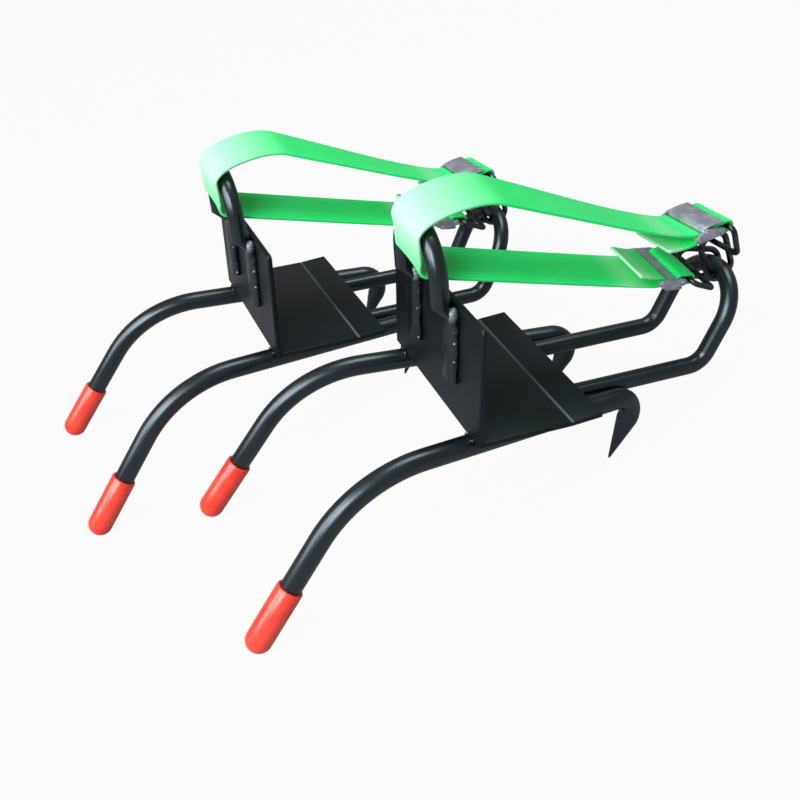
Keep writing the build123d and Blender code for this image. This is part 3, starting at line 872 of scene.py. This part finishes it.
# %% White floor
FLOOR_SIDE = 12.0
FLOOR_GREY = (0.23, 0.23, 0.24, 1.0)
WHITE = (1.0, 1.0, 1.0, 1.0)
WHITE_SEEN = 0.95
WHITE_MIRRORED = 0.1
bpy.ops.object.select_all(action="DESELECT")
bpy.ops.mesh.primitive_plane_add(size=FLOOR_SIDE)
floor = bpy.context.object
floor.name = "floor"
floor_finish = bpy.data.materials.new("pale_floor")
floor_finish.use_nodes = True
tree = floor_finish.node_tree
tree.nodes.remove(tree.nodes["Principled BSDF"])
light = Wire(tree)
seen = light.node("ShaderNodeLightPath", out="Is Camera Ray")
mirrored = light.node("ShaderNodeLightPath", out="Is Glossy Ray")
through = light.node("ShaderNodeLightPath", out="Is Transmission Ray")
matte = light.node("ShaderNodeBsdfDiffuse", {"Color": FLOOR_GREY})
white = light.node("ShaderNodeEmission", {"Color": WHITE, "Strength": 1.0})
shown = seen * WHITE_SEEN + (mirrored + through) * WHITE_MIRRORED
surface = light.node("ShaderNodeMixShader", {0: shown, 1: matte, 2: white})
tree.links.new(surface.socket, tree.nodes["Material Output"].inputs["Surface"])
floor.data.materials.append(floor_finish)
print("floor is", FLOOR_SIDE, "m wide")

# %% [markdown]
# ## World
# The world is white where the camera looks past the floor, and a low even fill for everything else.

# %% White world with a low fill
FILL = 0.27
world = bpy.context.scene.world or bpy.data.worlds.new("studio")
bpy.context.scene.world = world
world.use_nodes = True
tree = world.node_tree
seen = Wire(tree).node("ShaderNodeLightPath", out="Is Camera Ray")
background = tree.nodes["Background"].inputs
tree.links.new((seen * (1 - FILL) + FILL).socket, background["Strength"])
background["Color"].default_value = WHITE
print("world fills with", FILL)

# %% [markdown]
# ## Lamps
# A tall soft lamp stands at the left of the camera like a window and draws the long highlights on the bars.
# A second one, nearer to the camera, lights the front, and a third hangs above like a bright ceiling.
# Their places are given in the camera's own axes, because where a highlight falls depends on the lamp and
# the camera together.

# %% Three soft lamps
OBJECT_MIDDLE = Vector((0.0, 0.0, 0.09))


def softbox(name, width, height, watts, offset):
    """A soft lamp that looks at the middle of the object from an offset in the camera's own axes."""
    lamp_data = bpy.data.lights.new(name, "AREA")
    lamp_data.shape = "RECTANGLE"
    lamp_data.size = width
    lamp_data.size_y = height
    lamp_data.energy = watts
    lamp = bpy.data.objects.new(name, lamp_data)
    bpy.context.scene.collection.objects.link(lamp)
    lamp.location = OBJECT_MIDDLE + camera.matrix_world.to_3x3() @ Vector(offset)
    lamp.rotation_euler = (OBJECT_MIDDLE - lamp.location).to_track_quat("-Z", "Y").to_euler()
    print(name, "stands at", lamp.location)


softbox("window_lamp", width=0.65, height=1.0, watts=12.0, offset=(-1.05, 0.2, 0.7))
softbox("room_lamp", width=0.65, height=0.65, watts=13.0, offset=(-0.6, 0.0, 1.2))
softbox("sky_lamp", width=0.8, height=0.8, watts=9.0, offset=(0.2, 1.25, 0.7))
bpy.context.scene.view_settings.view_transform = "Standard"
